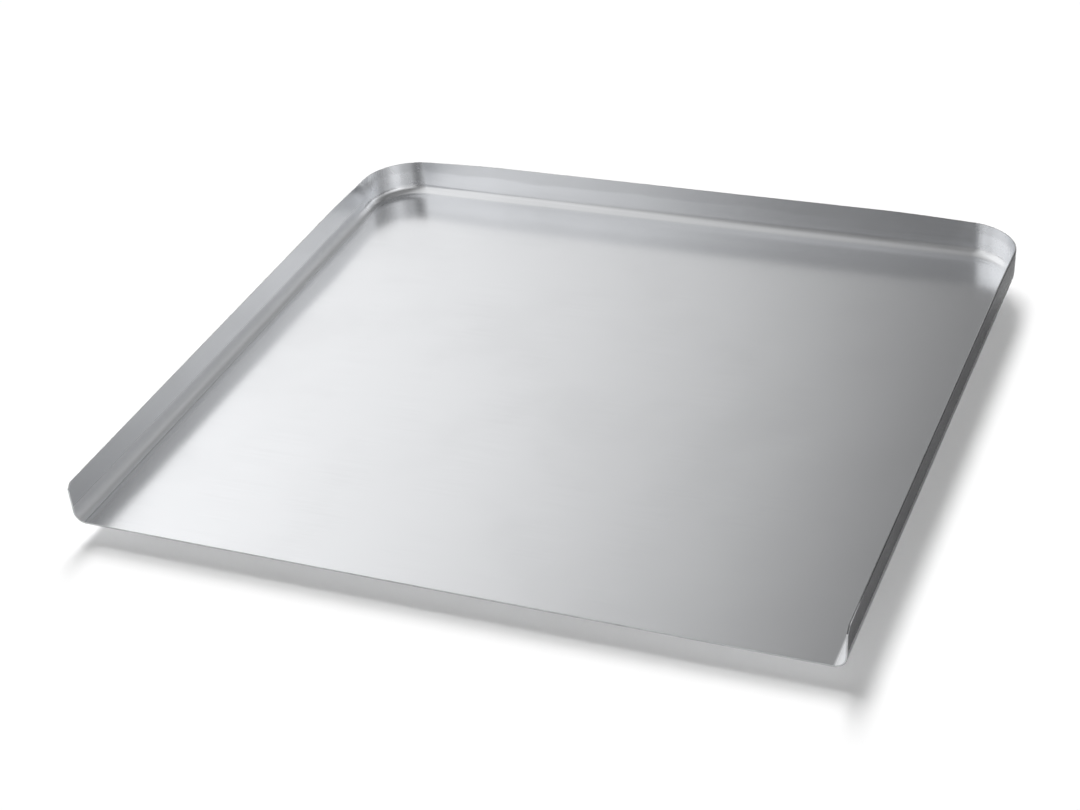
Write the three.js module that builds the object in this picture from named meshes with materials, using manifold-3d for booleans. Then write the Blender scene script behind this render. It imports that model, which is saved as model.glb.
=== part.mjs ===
// A sheet pan pressed from one aluminium sheet: a flat floor, a low wall round its left, back and right
// sides with rounded back corners, and an open front edge that food slides off.
// The rim sinks a little round the back corners, where the press drew the sheet in.
// Millimetres, +Z up. The origin is on the underside, in the middle of the pan's width and depth.
// +X runs to the right wall and +Y to the back wall.
// The sheet is divided where its shape changes, at the start of each bend and of each rounded corner.
// Each zone is a solid of its own that meets its neighbours face to face.
import * as THREE from 'three';
import Module from 'manifold-3d';
import { mergeVertices } from 'three/addons/utils/BufferGeometryUtils.js';

// Driving dimensions
const PAN_WIDTH = 457; // left to right, outside the rim
const PAN_DEPTH = 432; // front edge to the outside of the back rim
const WALL_HEIGHT = 26; // underside to rim
const SHEET_THICKNESS = 1;
const BEND_RADIUS = 6.5; // inside the bend from floor to wall
const WALL_LEAN = 1.6; // degrees by which the walls lean outwards
const CORNER_RADIUS = 34; // outside the rim, seen from above
const RIM_DIP = 2.5; // how far the rim sinks in the middle of a back corner
const DIP_REACH = 60; // length of wall past the corner on which the rim comes up again
const CLIP_LEG = 3.5; // each leg of the cut across a side wall's top front corner

// Fineness of the round stretches
const BEND_STEPS = 8;
const CORNER_STEPS = 16;
const DIP_STEPS = 8;

// How far the cutters of the clipped corners and the dips stand past the sheet
const CUTTER_MARGIN = 2;

const QUARTER_TURN = Math.PI / 2;
const lean = THREE.MathUtils.degToRad(WALL_LEAN);

// The wall's section starts at the floor's edge. Its first axis points outwards and its second one up.
const bendOuterRadius = BEND_RADIUS + SHEET_THICKNESS;
const bendCentreHeight = bendOuterRadius;

// Distance from the floor's edge out to the rim, on the face that leaves the bend at a given radius
function rimDistance(bendRadius) {
  const wallStart = bendRadius * Math.cos(lean);
  const wallRise = WALL_HEIGHT - bendCentreHeight + bendRadius * Math.sin(lean);
  return wallStart + wallRise * Math.tan(lean);
}

const outerRim = rimDistance(bendOuterRadius);
const innerRim = rimDistance(BEND_RADIUS);

// Plan of the floor, which ends where the bends start
const frontEdge = -PAN_DEPTH / 2;
const cornerX = PAN_WIDTH / 2 - CORNER_RADIUS;
const cornerY = PAN_DEPTH / 2 - CORNER_RADIUS;
const floorCornerRadius = CORNER_RADIUS - outerRim;
const floorSide = cornerX + floorCornerRadius;
const floorBack = cornerY + floorCornerRadius;

// A Shape cuts each of its arcs into twice as many pieces as this setting
function curveSegments(steps) {
  return steps / 2;
}

function satinAluminium() {
  return new THREE.MeshStandardMaterial({ color: 0xc8cacc, roughness: 0.35, metalness: 1 });
}

function namedMesh(name, geometry) {
  const mesh = new THREE.Mesh(geometry, satinAluminium());
  mesh.name = name;
  return mesh;
}

// Outline of the wall's section: bend and leaning wall outside, cut rim, then back down inside
function wallSection() {
  const section = new THREE.Shape();
  section.absarc(0, bendCentreHeight, bendOuterRadius, -QUARTER_TURN, -lean, false);
  section.lineTo(outerRim, WALL_HEIGHT);
  section.lineTo(innerRim, WALL_HEIGHT);
  section.absarc(0, bendCentreHeight, BEND_RADIUS, -lean, -QUARTER_TURN, true);
  return section;
}

// Quarter circle at floor level round a back corner, run clockwise as seen from above
class CornerPath extends THREE.Curve {
  constructor(centreX, startAngle) {
    super();
    this.centreX = centreX;
    this.startAngle = startAngle;
  }

  angleAt(t) {
    return this.startAngle - t * QUARTER_TURN;
  }

  // The angle grows evenly along the arc, so a share of the length is the same share of the angle
  getUtoTmapping(u) {
    return u;
  }

  getPoint(t, target = new THREE.Vector3()) {
    const angle = this.angleAt(t);
    const x = this.centreX + floorCornerRadius * Math.cos(angle);
    const y = cornerY + floorCornerRadius * Math.sin(angle);
    return target.set(x, y, 0);
  }

  getTangent(t, target = new THREE.Vector3()) {
    const angle = this.angleAt(t);
    return target.set(Math.sin(angle), -Math.cos(angle), 0);
  }
}

// Sweeps the wall's section along a level path that runs clockwise round the pan.
// On such a path the sweep's own first axis points down and its second one outwards.
function sweptWall(path, steps) {
  const points = wallSection().getPoints(curveSegments(BEND_STEPS));
  const turned = points.map((point) => new THREE.Vector2(-point.y, point.x));
  return new THREE.ExtrudeGeometry(new THREE.Shape(turned), { steps, extrudePath: path });
}

function straightWall(startX, startY, endX, endY) {
  const start = new THREE.Vector3(startX, startY, 0);
  const end = new THREE.Vector3(endX, endY, 0);
  return sweptWall(new THREE.LineCurve3(start, end), 1);
}

function cornerWall(centreX, startAngle) {
  return sweptWall(new CornerPath(centreX, startAngle), CORNER_STEPS);
}

// Flat floor with rounded back corners
function floorGeometry() {
  const plan = new THREE.Shape();
  plan.moveTo(-floorSide, frontEdge);
  plan.lineTo(floorSide, frontEdge);
  plan.absarc(cornerX, cornerY, floorCornerRadius, 0, QUARTER_TURN, false);
  plan.absarc(-cornerX, cornerY, floorCornerRadius, QUARTER_TURN, 2 * QUARTER_TURN, false);
  return new THREE.ExtrudeGeometry(plan, {
    depth: SHEET_THICKNESS,
    curveSegments: curveSegments(CORNER_STEPS),
    bevelEnabled: false,
  });
}

// Prism right across the pan, over a slope that cuts equal legs off the walls' top front corners
function clipCutter() {
  const slopeLow = WALL_HEIGHT - CLIP_LEG - CUTTER_MARGIN;
  const slopeEnd = frontEdge + CLIP_LEG + CUTTER_MARGIN;
  const side = new THREE.Shape();
  side.moveTo(frontEdge - CUTTER_MARGIN, slopeLow);
  side.lineTo(slopeEnd, WALL_HEIGHT + CUTTER_MARGIN);
  side.lineTo(frontEdge - CUTTER_MARGIN, WALL_HEIGHT + CUTTER_MARGIN);
  const reach = PAN_WIDTH + 2 * CUTTER_MARGIN;
  const geometry = new THREE.ExtrudeGeometry(side, { depth: reach, bevelEnabled: false });
  // The prism's length turns from Z to X, and its side view from XY to YZ
  geometry.rotateX(QUARTER_TURN);
  geometry.rotateZ(QUARTER_TURN);
  geometry.translate(-reach / 2, 0, 0);
  return geometry;
}

// Prism along a back corner's diagonal, over a smooth dip that runs out on the walls beside the corner
function dipCutter(side) {
  const halfWidth = (CORNER_RADIUS + DIP_REACH) * Math.SQRT1_2;
  const dipLow = WALL_HEIGHT - RIM_DIP;
  const across = new THREE.Shape();
  across.moveTo(-halfWidth, WALL_HEIGHT);
  across.bezierCurveTo(-halfWidth / 2, WALL_HEIGHT, -halfWidth / 2, dipLow, 0, dipLow);
  across.bezierCurveTo(halfWidth / 2, dipLow, halfWidth / 2, WALL_HEIGHT, halfWidth, WALL_HEIGHT);
  across.lineTo(halfWidth, WALL_HEIGHT + CUTTER_MARGIN);
  across.lineTo(-halfWidth, WALL_HEIGHT + CUTTER_MARGIN);
  const reach = 2 * (CORNER_RADIUS + DIP_REACH);
  const geometry = new THREE.ExtrudeGeometry(across, {
    depth: reach,
    curveSegments: DIP_STEPS,
    bevelEnabled: false,
  });
  // The prism is laid down over the corner and turned to its diagonal
  geometry.translate(0, 0, -reach / 2);
  geometry.rotateX(QUARTER_TURN);
  geometry.rotateZ((-side * QUARTER_TURN) / 2);
  geometry.translate(side * cornerX, cornerY, 0);
  return geometry;
}

const wasm = await Module();
wasm.setup();

function toSolid(geometry) {
  const bare = geometry.clone();
  bare.deleteAttribute('normal');
  bare.deleteAttribute('uv');
  const merged = mergeVertices(bare);
  const vertProperties = merged.getAttribute('position').array;
  const triVerts = Uint32Array.from(merged.getIndex().array);
  return new wasm.Manifold(new wasm.Mesh({ numProp: 3, vertProperties, triVerts }));
}

function toGeometry(solid) {
  const { vertProperties, triVerts } = solid.getMesh();
  const indexed = new THREE.BufferGeometry();
  indexed.setAttribute('position', new THREE.BufferAttribute(vertProperties, 3));
  indexed.setIndex(new THREE.BufferAttribute(triVerts, 1));
  const geometry = indexed.toNonIndexed();
  geometry.computeVertexNormals();
  return geometry;
}

function cutFrom(geometry, ...cutters) {
  const solid = cutters.reduce((rest, cutter) => rest.subtract(toSolid(cutter)), toSolid(geometry));
  return toGeometry(solid);
}

const leftWall = straightWall(-floorSide, frontEdge, -floorSide, cornerY);
const backWall = straightWall(-cornerX, floorBack, cornerX, floorBack);
const rightWall = straightWall(floorSide, cornerY, floorSide, frontEdge);
const backLeftCorner = cornerWall(-cornerX, 2 * QUARTER_TURN);
const backRightCorner = cornerWall(cornerX, QUARTER_TURN);
const frontClips = clipCutter();
const leftDip = dipCutter(-1);
const rightDip = dipCutter(1);

const sheetPan = new THREE.Group();
sheetPan.name = 'sheet_pan';
sheetPan.add(
  namedMesh('pan_floor', floorGeometry()),
  namedMesh('left_wall', cutFrom(leftWall, frontClips, leftDip)),
  namedMesh('back_left_corner', cutFrom(backLeftCorner, leftDip)),
  namedMesh('back_wall', cutFrom(backWall, leftDip, rightDip)),
  namedMesh('back_right_corner', cutFrom(backRightCorner, rightDip)),
  namedMesh('right_wall', cutFrom(rightWall, frontClips, rightDip)),
);

export default sheetPan;
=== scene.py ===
import math

import bmesh
import bpy
from mathutils import Matrix, Vector


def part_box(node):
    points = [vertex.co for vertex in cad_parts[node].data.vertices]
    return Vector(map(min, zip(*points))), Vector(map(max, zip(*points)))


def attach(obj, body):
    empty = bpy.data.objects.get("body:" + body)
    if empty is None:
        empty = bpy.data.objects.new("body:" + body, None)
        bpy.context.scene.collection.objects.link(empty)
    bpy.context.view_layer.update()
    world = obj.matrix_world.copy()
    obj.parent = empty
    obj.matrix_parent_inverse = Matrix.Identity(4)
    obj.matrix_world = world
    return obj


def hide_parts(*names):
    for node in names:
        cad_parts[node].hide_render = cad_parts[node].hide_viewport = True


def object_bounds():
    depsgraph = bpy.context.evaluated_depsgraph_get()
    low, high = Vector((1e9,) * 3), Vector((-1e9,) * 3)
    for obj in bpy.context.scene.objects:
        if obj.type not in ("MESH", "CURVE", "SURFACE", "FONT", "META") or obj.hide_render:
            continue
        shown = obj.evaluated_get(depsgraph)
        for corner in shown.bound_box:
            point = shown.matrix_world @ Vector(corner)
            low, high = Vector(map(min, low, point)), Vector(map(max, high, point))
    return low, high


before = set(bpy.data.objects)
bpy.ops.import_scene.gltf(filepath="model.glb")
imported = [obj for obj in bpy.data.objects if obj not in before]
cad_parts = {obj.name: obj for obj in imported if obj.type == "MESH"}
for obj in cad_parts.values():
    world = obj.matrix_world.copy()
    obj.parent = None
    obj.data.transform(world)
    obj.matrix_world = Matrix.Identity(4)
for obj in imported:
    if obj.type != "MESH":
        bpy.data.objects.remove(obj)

cad_low, cad_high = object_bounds()

# Looks of a sheet pan pressed from one satin aluminium sheet, in metres.
MM = 0.001
CLOSE = 0.01 * MM  # two places nearer than this are the same place
SAME_PLANE = 0.0001 * MM  # a place nearer to a cutting plane than this lies on it
NEARLY_SQUARE = 0.99  # least share of a face's direction along an axis that it counts as square to
LEANING_UP = 0.5  # least upward share of the direction of the rim's cut and the clips

# Sizes of the sheet that the solids' boxes don't give
BEND_RADIUS = 6.5 * MM  # inside the bend from floor to wall
WALL_LEAN = math.radians(1.6)
CLIP_LEG = 3.5 * MM
RIM_DIP = 2.5 * MM  # the rim sinks round the back corners
DIP_REACH = 60 * MM  # length of wall past a corner on which it comes up again
RIM_ROLL = 0.8 * MM  # the rim is rolled over on its outside
EDGE_ROUND = 0.12 * MM  # the other cut edges stay nearly crisp
BEND_STEPS = 12
CORNER_STEPS = 36
DIP_STEPS = 10
EDGE_STEPS = 4
SHARP_ANGLE = math.radians(40)
FLAT_FACE_WEIGHT = 50  # how strongly large faces lead the shading

# Sizes of the sheet from the solids
floor_low, floor_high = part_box("pan_floor")
corner_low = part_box("back_right_corner")[0]
SHEET = floor_high.z - floor_low.z
FRONT = floor_low.y
RIM = cad_high.z
FLOOR_SIDE = floor_high.x
CORNER_X = corner_low.x
CORNER_Y = corner_low.y
FLOOR_BACK = floor_high.y
FLOOR_CORNER = FLOOR_SIDE - CORNER_X
BEND_OUTER = BEND_RADIUS + SHEET
BEND_SWEEP = math.pi / 2 - WALL_LEAN

# Finish
ALUMINIUM = (0.872, 0.882, 0.9)
SATIN_SHADE = 0.985  # share of the metal's colour, before what its marks add or take
SATIN_ROUGHNESS = 0.18
# The cut edges are painted much darker than the sheet: a painted dark reflection that draws the rim and the
# front edge as dark lines.
EDGE_PAINTED_DARK = 0.42
EDGE_ROUGHNESS = 0.14
BLANK_MAP = "flat_blank"
ROLLING_LINES = {"Length": 60 * MM, "Width": 1.1 * MM}
SHEAR_LINES = {"Length": 2 * MM, "Width": 0.35 * MM}
LINE_LEVELS = (0.3, 0.7)  # of the noise, where a line comes up
SMUDGE_LEVELS = (0.42, 0.72)
SMUDGE_WIDTH = 80 * MM
EDGE_SMUDGE_WIDTH = 15 * MM
MOTTLE_SCALE = (120, 190, 1)  # patterns in a metre of the flat blank, across and deep
WAVE_SCALE = (8, 11, 1)
BAND_EDGE_SCALE = (28, 6, 1)
NICK_SCALE = (420, 420, 420)  # nicks in a metre of cut edge
RIPPLE_SCALE = (7, 22, 3)  # by the turn round a corner, the height and the side
RIPPLE_FADE = (-14 * MM, 10 * MM)  # either side of a back corner's start
RIPPLE_MIDDLE = 0.5
BAND_LOW = 18 * MM  # lower edge of the back wall's darker band: painted shade standing for a darker reflection, with a duller finish
BAND_UNEVEN = 5 * MM
BAND_FADE = 3 * MM
RUB_STARTS = (1.02 * SHEET, 1.3 * SHEET)  # heights over which the rubbed bend comes in and goes out
RUB_ENDS = (1.6 * BEND_OUTER, BEND_OUTER)

# Camera, from the photo's rim lines
CAMERA_PLACE = Vector((454.7, -1060.8, 720.3)) * MM
CAMERA_AIM = Vector((-65.9, -42.5, 0)) * MM
CAMERA_ROLL = math.radians(-6.4)
CAMERA_SENSOR = 36
CAMERA_LENS = 73.85
CAMERA_SHIFT = 0.0833

# Studio floor and lamps
FLOOR_DROP = 12 * MM  # the pan hovers over its soft shadow, as in the photo
FLOOR_SIZE = 12.0
FLOOR_WHITE = 0.95
SHADE_LEVEL = 0.1  # light on the floor that no lamp reaches
KEY_SIDE = -0.345  # how far the key lamps stand to the side and to the back, over their height
KEY_BACKS = (0.3, 0.77, 1.25)
KEY_SPREAD = math.radians(18)
KEY_POWER = 0.95
FILL_FROM = Vector((0.6, -1.16, 0.8))
FILL_SPREAD = math.radians(12)
FILL_POWER = 1.75

# Tent and dark cards, which only reflections see; the cards are painted shade and painted dark reflections
# beside the right wall
TENT_RADIUS = 1.5
TENT_STEPS_ROUND = 48
TENT_STEPS_UP = 24
TENT_GLOW = 1.4
# Share of the tent's glow by compass direction: degrees from +X, positive towards the back wall
TENT_SHARES = (
    (-165, 0.75), (-150, 0.65), (-140, 0.5), (-125, 0.7), (-118, 0.6), (-110, 0.25), (-95, 0.07),
    (-80, 0.5), (-60, 0.5), (-45, 0.8), (-30, 0.9), (-10, 0.55), (5, 0.4), (20, 0.3), (50, 0.3),
    (60, 0.55), (75, 0.6), (90, 0.15), (105, 0.45), (120, 0.65), (135, 0.75), (155, 0.8),
)
TENT_SHARE_LEFT = 0.75
TENT_TOP_FROM = 0.4 * TENT_RADIUS  # heights over which the sides fade into the top
TENT_TOP_TO = 0.85 * TENT_RADIUS
TENT_TOP_START = -0.6 * TENT_RADIUS  # from here to the middle the top fades from left to right
TENT_TOP_LEFT = 0.72  # share of the glow at the top's left side, and right of its middle
TENT_TOP_RIGHT = 0.09
TENT_PEAK_FROM = 0.78 * TENT_RADIUS  # heights over which the right of the top comes up a little again
TENT_PEAK_TO = 0.88 * TENT_RADIUS
TENT_PEAK_RIGHT = 0.17
TENT_FOOT = 0.8  # share of their glow that the sides keep down at the floor
TENT_FOOT_TO = 0.17 * TENT_RADIUS  # height where the sides have their full glow
CARD_GAP = 2 * MM
CARD_WIDTH = 0.06
CARD_HEIGHT = 0.1
LYING_FRONT = -0.225
LYING_BACK = 1.2
LYING_SHADE_GREY = 0.17
STANDING_FRONT = -0.12
STANDING_BACK = 0.42
STANDING_REFLECTION_GREY = 0.02

PAN_NODES = ("pan_floor", "left_wall", "back_left_corner", "back_wall", "back_right_corner", "right_wall")


# Objects in the scene

def add_object(name, data):
    added = bpy.data.objects.new(name, data)
    bpy.context.scene.collection.objects.link(added)
    return added


def mesh_object(name, bm, materials):
    """Puts what was made in a bmesh into the scene."""
    mesh = bpy.data.meshes.new(name)
    bm.to_mesh(mesh)
    bm.free()
    for material in materials:
        mesh.materials.append(material)
    return add_object(name, mesh)


# The pressed sheet

def only(kind, elements):
    return [element for element in elements if isinstance(element, kind)]


def edges_within(bm, test):
    """Edges with both ends at places that pass the test."""
    return [edge for edge in bm.edges if all(test(vertex.co) for vertex in edge.verts)]


def bend_vertex(bm, vertex, centre, angle):
    """Spins one vertex round a bend that runs front to back, and gives the last one back."""
    spun = bmesh.ops.spin(bm, geom=[vertex], cent=centre, axis=(0, 1, 0), angle=angle, steps=BEND_STEPS)
    return only(bmesh.types.BMVert, spun["geom_last"])[0]


def draw_vertex(bm, vertex, place):
    """Draws a straight edge from a vertex to a place."""
    drawn = bmesh.ops.extrude_vert_indiv(bm, verts=[vertex])["verts"][0]
    drawn.co = place
    return drawn


def front_left_section(bm):
    """Open outline of the left wall at the front: floor top, bend, wall, rim, and down again outside."""
    centre = Vector((-FLOOR_SIDE, FRONT, BEND_OUTER))
    outer_rim = cad_low.x
    inner_rim = outer_rim + SHEET / math.cos(WALL_LEAN)
    bend_top = Vector((-math.cos(WALL_LEAN), 0, -math.sin(WALL_LEAN))) * BEND_OUTER
    vertex = bm.verts.new((-FLOOR_SIDE, FRONT, SHEET))
    vertex = bend_vertex(bm, vertex, centre, BEND_SWEEP)
    vertex = draw_vertex(bm, vertex, (inner_rim, FRONT, RIM))
    vertex = draw_vertex(bm, vertex, (outer_rim, FRONT, RIM))
    vertex = draw_vertex(bm, vertex, centre + bend_top)
    bend_vertex(bm, vertex, centre, -BEND_SWEEP)
    return bm.edges[:]


def run_wall(bm, edges, move, steps=1):
    """Carries the section straight along a wall."""
    for _ in range(steps):
        drawn = bmesh.ops.extrude_edge_only(bm, edges=edges)["geom"]
        bmesh.ops.translate(bm, verts=only(bmesh.types.BMVert, drawn), vec=Vector(move) / steps)
        edges = only(bmesh.types.BMEdge, drawn)
    return edges


def turn_corner(bm, edges, centre_x):
    """Carries the section a quarter turn round a back corner, clockwise as seen from above."""
    verts = list({vertex for edge in edges for vertex in edge.verts})
    spun = bmesh.ops.spin(
        bm, geom=verts + edges, cent=(centre_x, CORNER_Y, 0), axis=(0, 0, 1),
        angle=-math.pi / 2, steps=CORNER_STEPS,
    )
    return only(bmesh.types.BMEdge, spun["geom_last"])


def sink_rim(bm):
    """Lowers the rim round the back corners, most on the corner's diagonal."""
    half_width = (cad_high.x - CORNER_X + DIP_REACH) * math.sqrt(0.5)
    for vertex in bm.verts:
        place = vertex.co
        if place.z < RIM - CLOSE:
            continue
        off_diagonal = abs((abs(place.x) - CORNER_X) - (place.y - CORNER_Y)) * math.sqrt(0.5)
        rise = min(off_diagonal / half_width, 1)
        place.z -= RIM_DIP * (1 - rise * rise * (3 - 2 * rise))


def close_sheet(bm):
    """Closes the floor's top and underside and the sheet's cut front."""
    def at_front(place):
        return abs(place.y - FRONT) < CLOSE

    def on_floor(place):
        return abs(place.x) < FLOOR_SIDE + CLOSE and place.z < SHEET + CLOSE

    ends = [vertex for vertex in bm.verts if at_front(vertex.co) and on_floor(vertex.co)]
    pairs = [
        [vertex for vertex in ends if abs(vertex.co.z - SHEET) < CLOSE],
        [vertex for vertex in ends if abs(vertex.co.z) < CLOSE],
        [vertex for vertex in ends if vertex.co.x < 0],
        [vertex for vertex in ends if vertex.co.x > 0],
    ]
    for pair in pairs:
        bmesh.ops.contextual_create(bm, geom=pair)
    outlines = [
        lambda place: on_floor(place) and abs(place.z - SHEET) < CLOSE,
        lambda place: on_floor(place) and abs(place.z) < CLOSE,
        lambda place: at_front(place) and on_floor(place),
        lambda place: at_front(place) and place.x < 0,
        lambda place: at_front(place) and place.x > 0,
    ]
    for outline in outlines:
        bmesh.ops.edgeloop_fill(bm, edges=edges_within(bm, outline))
    bmesh.ops.recalc_face_normals(bm, faces=bm.faces[:])


def clip_front_corners(bm):
    """Cuts the top front corner off both side walls at 45 degrees."""
    cut = bmesh.ops.bisect_plane(
        bm, geom=bm.verts[:] + bm.edges[:] + bm.faces[:], dist=SAME_PLANE,
        plane_co=(0, FRONT, RIM - CLIP_LEG), plane_no=(0, -1, 1), clear_outer=True,
    )
    bmesh.ops.edgeloop_fill(bm, edges=only(bmesh.types.BMEdge, cut["geom_cut"]))
    bmesh.ops.recalc_face_normals(bm, faces=bm.faces[:])


def mark_cut_faces(bm):
    """Gives the faces that the shears made the second material."""
    for face in bm.faces:
        middle = face.calc_center_median()
        on_rim = face.normal.z > LEANING_UP and middle.z > RIM - CLIP_LEG
        on_front = face.normal.y < -NEARLY_SQUARE and middle.y < FRONT + CLOSE
        if on_rim or on_front:
            face.material_index = 1


def sharp_edges(bm):
    return [edge for edge in bm.edges if edge.calc_face_angle(0) > SHARP_ANGLE]


def round_cut_edges(bm):
    """Rolls the rim's outer edge over, as the press leaves it, and takes the sharpness off the other cuts."""
    above_floor = Vector((0, 0, RIM))

    def is_outside(face):
        return face.material_index == 0 and face.normal.dot(above_floor - face.calc_center_median()) < 0

    def is_rim(face):
        return face.material_index == 1 and face.normal.z > NEARLY_SQUARE

    def round_off(edges, reach):
        bmesh.ops.bevel(
            bm, geom=edges, offset=reach, offset_type="OFFSET", affect="EDGES",
            segments=EDGE_STEPS, profile=0.5, material=-1, clamp_overlap=True,
        )

    rim_edges = [
        edge for edge in sharp_edges(bm)
        if any(map(is_rim, edge.link_faces)) and any(map(is_outside, edge.link_faces))
    ]
    round_off(rim_edges, RIM_ROLL)
    round_off(sharp_edges(bm), EDGE_ROUND)


def place_on_blank(place):
    """Where a place on the pressed sheet lay on the flat blank, with the walls laid down outwards."""
    spine = Vector((min(max(place.x, -CORNER_X), CORNER_X), min(place.y, CORNER_Y)))
    outwards = place.xy - spine
    if outwards.length <= FLOOR_CORNER:
        return place.xy
    past_floor = outwards.length - FLOOR_CORNER
    bent = min(math.atan2(past_floor, BEND_OUTER - place.z), BEND_SWEEP)
    wall_start = BEND_OUTER * (1 - math.sin(WALL_LEAN))
    up_wall = max(place.z - wall_start, 0) / math.cos(WALL_LEAN)
    unrolled = FLOOR_CORNER + (BEND_RADIUS + SHEET / 2) * bent + up_wall
    return spine + outwards.normalized() * unrolled


def map_to_blank(bm):
    """Gives the sheet a map of its flat blank, so that the rolling lines run on up the walls."""
    blank = bm.loops.layers.uv.new(BLANK_MAP)
    for face in bm.faces:
        for loop in face.loops:
            loop[blank].uv = place_on_blank(loop.vert.co)


def pressed_sheet(materials):
    """The whole pan as the one sheet it is pressed from."""
    bm = bmesh.new()
    side_length = CORNER_Y - FRONT - DIP_REACH
    back_length = 2 * (CORNER_X - DIP_REACH)
    edges = front_left_section(bm)
    edges = run_wall(bm, edges, (0, side_length, 0))
    edges = run_wall(bm, edges, (0, DIP_REACH, 0), DIP_STEPS)
    edges = turn_corner(bm, edges, -CORNER_X)
    edges = run_wall(bm, edges, (DIP_REACH, 0, 0), DIP_STEPS)
    edges = run_wall(bm, edges, (back_length, 0, 0))
    edges = run_wall(bm, edges, (DIP_REACH, 0, 0), DIP_STEPS)
    edges = turn_corner(bm, edges, CORNER_X)
    edges = run_wall(bm, edges, (0, -DIP_REACH, 0), DIP_STEPS)
    run_wall(bm, edges, (0, -side_length, 0))
    sink_rim(bm)
    close_sheet(bm)
    clip_front_corners(bm)
    mark_cut_faces(bm)
    round_cut_edges(bm)
    map_to_blank(bm)
    for face in bm.faces:
        face.smooth = True
    piece = mesh_object("pressed_sheet", bm, materials)
    # Flat faces keep their own direction and the bends shade smoothly into them
    shading = piece.modifiers.new("flat_faces_lead", "WEIGHTED_NORMAL")
    shading.mode = "FACE_AREA"
    shading.weight = FLAT_FACE_WEIGHT
    return piece


# Nodes that the finishes share

def new_material(name):
    material = bpy.data.materials.new(name)
    material.use_nodes = True
    return material, material.node_tree


def node_with(tree, kind, values):
    """New node with values set on its named inputs."""
    node = tree.nodes.new(kind)
    for name, value in values.items():
        node.inputs[name].default_value = value
    return node


def calculate(tree, operation, *terms):
    """Output of a math node whose terms are sockets or numbers."""
    node = tree.nodes.new("ShaderNodeMath")
    node.operation = operation
    for socket, term in zip(node.inputs, terms):
        if isinstance(term, bpy.types.NodeSocket):
            tree.links.new(term, socket)
        else:
            socket.default_value = term
    return node.outputs["Value"]


def weighted(tree, start, *terms):
    """A starting number plus each value times its weight."""
    total = start
    for value, weight in terms:
        total = calculate(tree, "MULTIPLY_ADD", value, weight, total)
    return total


def eased(tree, value, start, end):
    """Smooth change from 0 at the start to 1 at the end."""
    node = node_with(tree, "ShaderNodeMapRange", {"From Min": start, "From Max": end})
    node.interpolation_type = "SMOOTHSTEP"
    tree.links.new(value, node.inputs["Value"])
    return node.outputs["Result"]


def stretched(tree, vector, scale):
    """Coordinates scaled to the sizes of a pattern."""
    node = node_with(tree, "ShaderNodeMapping", {"Scale": scale})
    tree.links.new(vector, node.inputs["Vector"])
    return node.outputs["Vector"]


def noise(tree, vector, detail):
    node = node_with(tree, "ShaderNodeTexNoise", {"Scale": 1, "Detail": detail})
    tree.links.new(vector, node.inputs["Vector"])
    return node.outputs["Fac"]


def object_axes(tree):
    """The object's own coordinates: to the right, to the back and up."""
    axes = tree.nodes.new("ShaderNodeSeparateXYZ")
    tree.links.new(tree.nodes.new("ShaderNodeTexCoord").outputs["Object"], axes.inputs["Vector"])
    return axes.outputs


def new_group(name, inputs, outputs):
    group = bpy.data.node_groups.new(name, "ShaderNodeTree")
    for title, kind in inputs:
        group.interface.new_socket(title, in_out="INPUT", socket_type=kind)
    for title in outputs:
        group.interface.new_socket(title, in_out="OUTPUT", socket_type="NodeSocketFloat")
    return group, group.nodes.new("NodeGroupInput"), group.nodes.new("NodeGroupOutput")


def fine_lines_group():
    """Fine lines that rollers and shears leave, along X of the coordinates given."""
    group, given, made = new_group(
        "fine_lines",
        [("Vector", "NodeSocketVector"), ("Length", "NodeSocketFloat"), ("Width", "NodeSocketFloat")],
        ["Lines"],
    )
    length = calculate(group, "DIVIDE", 1.0, given.outputs["Length"])
    width = calculate(group, "DIVIDE", 1.0, given.outputs["Width"])
    scale = group.nodes.new("ShaderNodeCombineXYZ")
    group.links.new(length, scale.inputs["X"])
    group.links.new(width, scale.inputs["Y"])
    group.links.new(width, scale.inputs["Z"])
    fitted = group.nodes.new("ShaderNodeVectorMath")
    fitted.operation = "MULTIPLY"
    group.links.new(given.outputs["Vector"], fitted.inputs[0])
    group.links.new(scale.outputs["Vector"], fitted.inputs[1])
    lines = noise(group, fitted.outputs["Vector"], 3)
    group.links.new(eased(group, lines, *LINE_LEVELS), made.inputs["Lines"])
    return group


def smudges_group():
    """Soft dull patches left by hands and cloths."""
    group, given, made = new_group(
        "smudges", [("Vector", "NodeSocketVector"), ("Width", "NodeSocketFloat")], ["Smudges"],
    )
    fitted = group.nodes.new("ShaderNodeVectorMath")
    fitted.operation = "SCALE"
    group.links.new(given.outputs["Vector"], fitted.inputs[0])
    group.links.new(calculate(group, "DIVIDE", 1.0, given.outputs["Width"]), fitted.inputs["Scale"])
    clouds = noise(group, fitted.outputs["Vector"], 4)
    group.links.new(eased(group, clouds, *SMUDGE_LEVELS), made.inputs["Smudges"])
    return group


def placed_group(tree, group, vector, values):
    """A group in a material, on the coordinates given and with its own values."""
    node = tree.nodes.new("ShaderNodeGroup")
    node.node_tree = group
    tree.links.new(vector, node.inputs["Vector"])
    for name, value in values.items():
        node.inputs[name].default_value = value
    return node.outputs


# Finishes of the sheet

def tinted(tree, colour, shade):
    """A colour dimmed by a shade that changes over the surface."""
    node = tree.nodes.new("ShaderNodeMix")
    node.data_type = "RGBA"
    node.blend_type = "MULTIPLY"
    # The node has a set of inputs for each kind of data, and the colours come seventh and eighth
    factor, first, second = (node.inputs[index] for index in (0, 6, 7))
    factor.default_value = 1
    first.default_value = (*colour, 1)
    tree.links.new(shade, second)
    return node.outputs[2]


def raised(tree, height):
    """Normal of a surface whose height is given in millimetres."""
    node = node_with(tree, "ShaderNodeBump", {"Strength": 1, "Distance": MM})
    tree.links.new(height, node.inputs["Height"])
    return node.outputs["Normal"]


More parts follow.
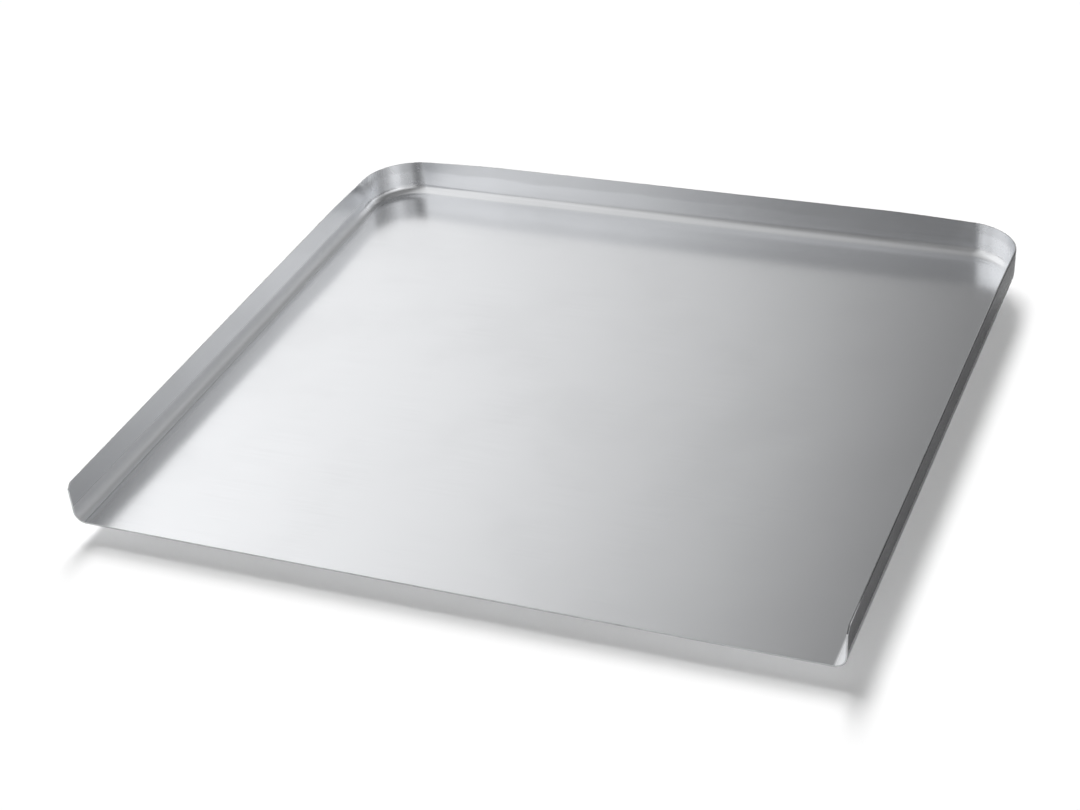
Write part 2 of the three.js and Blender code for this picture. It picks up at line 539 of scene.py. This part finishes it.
def finish_metal(tree, shade, roughness, height):
    """Makes a material the pan's metal, with the shade, roughness and height given."""
    shader = tree.nodes["Principled BSDF"]
    shader.inputs["Metallic"].default_value = 1
    tree.links.new(tinted(tree, ALUMINIUM, shade), shader.inputs["Base Color"])
    tree.links.new(roughness, shader.inputs["Roughness"])
    tree.links.new(raised(tree, height), shader.inputs["Normal"])


def drawn_corners(tree, across, deep, high):
    """Upright ripples where the press gathered the sheet round the back corners, and where they are."""
    past_side = calculate(tree, "SUBTRACT", calculate(tree, "ABSOLUTE", across), CORNER_X)
    past_back = calculate(tree, "SUBTRACT", deep, CORNER_Y)
    turn = calculate(tree, "ARCTAN2", past_side, past_back)
    rays = tree.nodes.new("ShaderNodeCombineXYZ")
    tree.links.new(turn, rays.inputs["X"])
    tree.links.new(high, rays.inputs["Y"])
    # Left and right differ by a step along the pattern's third axis
    tree.links.new(calculate(tree, "SIGN", across), rays.inputs["Z"])
    ripples = noise(tree, stretched(tree, rays.outputs["Vector"], RIPPLE_SCALE), 2)
    near_side = eased(tree, past_side, *RIPPLE_FADE)
    near_back = eased(tree, past_back, *RIPPLE_FADE)
    beside = calculate(tree, "MULTIPLY", near_side, near_back)
    where = calculate(tree, "MULTIPLY", beside, eased(tree, high, SHEET, BEND_OUTER))
    swing = calculate(tree, "SUBTRACT", ripples, RIPPLE_MIDDLE)
    return calculate(tree, "MULTIPLY", swing, where), where


def rubbed_bends(tree, across, deep, high):
    """Where the bends rubbed over the die, all round and on the straight side walls alone."""
    rub_start = eased(tree, high, *RUB_STARTS)
    rub_end = eased(tree, high, *RUB_ENDS)
    rubbed = calculate(tree, "MULTIPLY", rub_start, rub_end)
    side_start = eased(tree, calculate(tree, "ABSOLUTE", across), CORNER_X, FLOOR_SIDE)
    side_end = eased(tree, deep, CORNER_Y, CORNER_Y - FLOOR_CORNER)
    on_side = calculate(tree, "MULTIPLY", side_start, side_end)
    return rubbed, calculate(tree, "MULTIPLY", rubbed, on_side)


def dull_and_painted_dark_band(tree, flat, deep, high):
    """Where the top of the back wall is painted darker, as painted shade standing for a darker reflection,
    and made a little duller, down to an uneven line.
    """
    band_edge = noise(tree, stretched(tree, flat, BAND_EDGE_SCALE), 2)
    uneven = calculate(tree, "MULTIPLY_ADD", band_edge, BAND_UNEVEN, high)
    above = eased(tree, uneven, BAND_LOW, BAND_LOW + BAND_FADE)
    return calculate(tree, "MULTIPLY", above, eased(tree, deep, CORNER_Y, FLOOR_BACK))


def satin_sheet(fine_lines, smudges):
    material, tree = new_material("satin_sheet")
    blank = tree.nodes.new("ShaderNodeUVMap")
    blank.uv_map = BLANK_MAP
    flat = blank.outputs["UV"]
    across, deep, high = object_axes(tree)
    lines = placed_group(tree, fine_lines, flat, ROLLING_LINES)["Lines"]
    dull = placed_group(tree, smudges, flat, {"Width": SMUDGE_WIDTH})["Smudges"]
    mottle = noise(tree, stretched(tree, flat, MOTTLE_SCALE), 3)
    waves = noise(tree, stretched(tree, flat, WAVE_SCALE), 1)
    # The corner mask makes the back corners rougher and paints them a little darker: painted shade in the
    # corners.
    ripples, corners_dull_and_painted_shade = drawn_corners(tree, across, deep, high)
    rubbed, side_rubbed = rubbed_bends(tree, across, deep, high)
    # The back wall's top band is made a little duller and painted darker: painted shade standing for a darker
    # reflection.
    band_dull_and_painted_dark = dull_and_painted_dark_band(tree, flat, deep, high)
    shade = weighted(
        tree, SATIN_SHADE, (lines, 0.012), (mottle, 0.012), (dull, -0.02), (band_dull_and_painted_dark, -0.09), (corners_dull_and_painted_shade, -0.02),
    )
    roughness = weighted(
        tree, SATIN_ROUGHNESS, (lines, -0.02), (mottle, 0.03), (dull, 0.035), (rubbed, 0.03),
        (side_rubbed, 0.27), (band_dull_and_painted_dark, 0.03), (corners_dull_and_painted_shade, 0.07), (ripples, 0.1),
    )
    height = weighted(tree, 0, (waves, 0.35), (ripples, 0.09))
    finish_metal(tree, shade, roughness, height)
    return material


def sheared_edge(fine_lines, smudges):
    material, tree = new_material("sheared_edge")
    place = tree.nodes.new("ShaderNodeTexCoord").outputs["Object"]
    # The shears' lines run up through the sheet, so the coordinates turn from Z to X
    upright = node_with(tree, "ShaderNodeMapping", {"Rotation": (0, math.pi / 2, 0)})
    tree.links.new(place, upright.inputs["Vector"])
    lines = placed_group(tree, fine_lines, upright.outputs["Vector"], SHEAR_LINES)["Lines"]
    dull = placed_group(tree, smudges, place, {"Width": EDGE_SMUDGE_WIDTH})["Smudges"]
    nicks = noise(tree, stretched(tree, place, NICK_SCALE), 2)
    # The cut edges' low share of the metal's colour is a painted dark reflection; the lines, nicks and
    # smudges are their own marks.
    shade = weighted(tree, EDGE_PAINTED_DARK, (lines, 0.1), (nicks, 0.1), (dull, -0.06))
    roughness = weighted(tree, EDGE_ROUGHNESS, (lines, 0.05), (nicks, 0.08), (dull, 0.05))
    height = weighted(tree, 0, (lines, 0.004), (nicks, 0.02))
    finish_metal(tree, shade, roughness, height)
    return material


# Studio

def grey(level):
    return (level, level, level, 1)


def matt_cloth(name, level):
    material, tree = new_material(name)
    shader = tree.nodes["Principled BSDF"]
    shader.inputs["Base Color"].default_value = grey(level)
    shader.inputs["Roughness"].default_value = 1
    shader.inputs["Specular IOR Level"].default_value = 0
    return material


def show_in_reflections_only(thing):
    thing.visible_camera = False
    thing.visible_diffuse = False
    thing.visible_shadow = False
    thing.visible_transmission = False


def studio_floor():
    bm = bmesh.new()
    bmesh.ops.create_grid(bm, x_segments=1, y_segments=1, size=FLOOR_SIZE / 2)
    bmesh.ops.translate(bm, verts=bm.verts[:], vec=(0, 0, -FLOOR_DROP))
    floor = mesh_object("studio_floor", bm, [matt_cloth("white_floor", FLOOR_WHITE)])


def share_round_tent(tree):
    """Share of the glow that the tent's sides have in each compass direction."""
    place = tree.nodes.new("ShaderNodeTexCoord").outputs["Object"]
    compass = tree.nodes.new("ShaderNodeTexGradient")
    compass.gradient_type = "RADIAL"
    tree.links.new(place, compass.inputs["Vector"])
    ramp = tree.nodes.new("ShaderNodeValToRGB")
    stops = ramp.color_ramp.elements
    for stop in stops:
        stop.color = grey(TENT_SHARE_LEFT)
    for degrees, share in TENT_SHARES:
        stops.new(degrees / 360 + 0.5).color = grey(share)
    tree.links.new(compass.outputs["Fac"], ramp.inputs["Fac"])
    return ramp.outputs["Color"]


def share_over_top(tree, across, high):
    """Share of the glow that the tent's top has from left to right."""
    peak = eased(tree, high, TENT_PEAK_FROM, TENT_PEAK_TO)
    top_right = weighted(tree, TENT_TOP_RIGHT, (peak, TENT_PEAK_RIGHT - TENT_TOP_RIGHT))
    top = node_with(tree, "ShaderNodeMapRange", {
        "From Min": TENT_TOP_START, "From Max": 0, "To Min": TENT_TOP_LEFT,
    })
    tree.links.new(across, top.inputs["Value"])
    tree.links.new(top_right, top.inputs["To Max"])
    return top.outputs["Result"]


def tent_cloth():
    """Cloth that glows more or less by compass direction and fades into its top and its foot."""
    material, tree = new_material("tent_cloth")
    tree.nodes.remove(tree.nodes["Principled BSDF"])
    across, _, high = object_axes(tree)
    rise = eased(tree, high, 0, TENT_FOOT_TO)
    foot = weighted(tree, TENT_FOOT, (rise, 1 - TENT_FOOT))
    cloth = tree.nodes.new("ShaderNodeMix")
    tree.links.new(eased(tree, high, TENT_TOP_FROM, TENT_TOP_TO), cloth.inputs["Factor"])
    tree.links.new(calculate(tree, "MULTIPLY", share_round_tent(tree), foot), cloth.inputs["A"])
    tree.links.new(share_over_top(tree, across, high), cloth.inputs["B"])
    glow = tree.nodes.new("ShaderNodeEmission")
    tree.links.new(calculate(tree, "MULTIPLY", cloth.outputs["Result"], TENT_GLOW), glow.inputs["Strength"])
    tree.links.new(glow.outputs["Emission"], tree.nodes["Material Output"].inputs["Surface"])
    return material


def light_tent():
    """White cloth round the pan, bright on the left, that only reflections see."""
    bm = bmesh.new()
    bmesh.ops.create_uvsphere(
        bm, u_segments=TENT_STEPS_ROUND, v_segments=TENT_STEPS_UP, radius=TENT_RADIUS,
    )
    tent = mesh_object("light_tent", bm, [tent_cloth()])
    show_in_reflections_only(tent)


def dark_reflection_card(name, places, level):
    """Dark cloth with the given corners, that only reflections see: a painted dark reflection in the pan."""
    bm = bmesh.new()
    bmesh.ops.contextual_create(bm, geom=[bm.verts.new(place) for place in places])
    card = mesh_object(name, bm, [matt_cloth(name, level)])
    show_in_reflections_only(card)


def dark_reflection_cards():
    """One card on the floor beside the right wall, as painted shade in the wall's reflection, and one that
    stands up along it further back, as a painted dark reflection in the wall and its rim.
    """
    near = cad_high.x + CARD_GAP
    far = near + CARD_WIDTH
    low = CLOSE - FLOOR_DROP
    high = low + CARD_HEIGHT
    lying = (
        (near, LYING_FRONT, low), (far, LYING_FRONT, low),
        (far, LYING_BACK, low), (near, LYING_BACK, low),
    )
    standing = (
        (far, STANDING_FRONT, low), (far, STANDING_BACK, low),
        (far, STANDING_BACK, high), (far, STANDING_FRONT, high),
    )
    dark_reflection_card("lying_shade_card", lying, LYING_SHADE_GREY)
    dark_reflection_card("standing_dark_reflection_card", standing, STANDING_REFLECTION_GREY)


def white_world():
    """White where the camera, a reflection or a clear thing looks, and soft shade light elsewhere."""
    world = bpy.data.worlds.new("white_studio")
    bpy.context.scene.world = world
    world.use_nodes = True
    tree = world.node_tree
    path = tree.nodes.new("ShaderNodeLightPath").outputs
    seen = calculate(tree, "MAXIMUM", path["Is Camera Ray"], path["Is Glossy Ray"])
    seen_clear = calculate(tree, "MAXIMUM", seen, path["Is Transmission Ray"])
    level = weighted(tree, SHADE_LEVEL, (seen_clear, 1 - SHADE_LEVEL))
    background = tree.nodes["Background"]
    background.inputs["Color"].default_value = grey(1)
    tree.links.new(level, background.inputs["Strength"])


def soft_lamp(name, origin, spread, power):
    """Wide even lamp that shines from the direction of its origin."""
    lamp = bpy.data.lights.new(name, "SUN")
    lamp.energy = power
    lamp.angle = spread
    holder = add_object(name, lamp)
    holder.rotation_euler = (-origin).to_track_quat("-Z", "Y").to_euler()
    holder.visible_camera = False
    holder.visible_glossy = False


def photo_camera():
    data = bpy.data.cameras.new("photo_camera")
    data.sensor_width = CAMERA_SENSOR
    data.lens = CAMERA_LENS
    data.shift_x = CAMERA_SHIFT
    camera = add_object("photo_camera", data)
    turn = (CAMERA_AIM - CAMERA_PLACE).to_track_quat("-Z", "Y").to_matrix()
    roll = Matrix.Rotation(CAMERA_ROLL, 3, "Z")
    camera.location = CAMERA_PLACE
    camera.rotation_euler = (turn @ roll).to_euler()
    bpy.context.scene.camera = camera


photo_camera()
fine_lines = fine_lines_group()
smudges = smudges_group()
pan = pressed_sheet([satin_sheet(fine_lines, smudges), sheared_edge(fine_lines, smudges)])
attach(pan, "root")
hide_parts(*PAN_NODES)
studio_floor()
light_tent()
dark_reflection_cards()
white_world()
for back in KEY_BACKS:
    soft_lamp("key_lamp", Vector((KEY_SIDE, back, 1)), KEY_SPREAD, KEY_POWER)
soft_lamp("fill_lamp", FILL_FROM, FILL_SPREAD, FILL_POWER)
bpy.context.scene.view_settings.view_transform = "Standard"
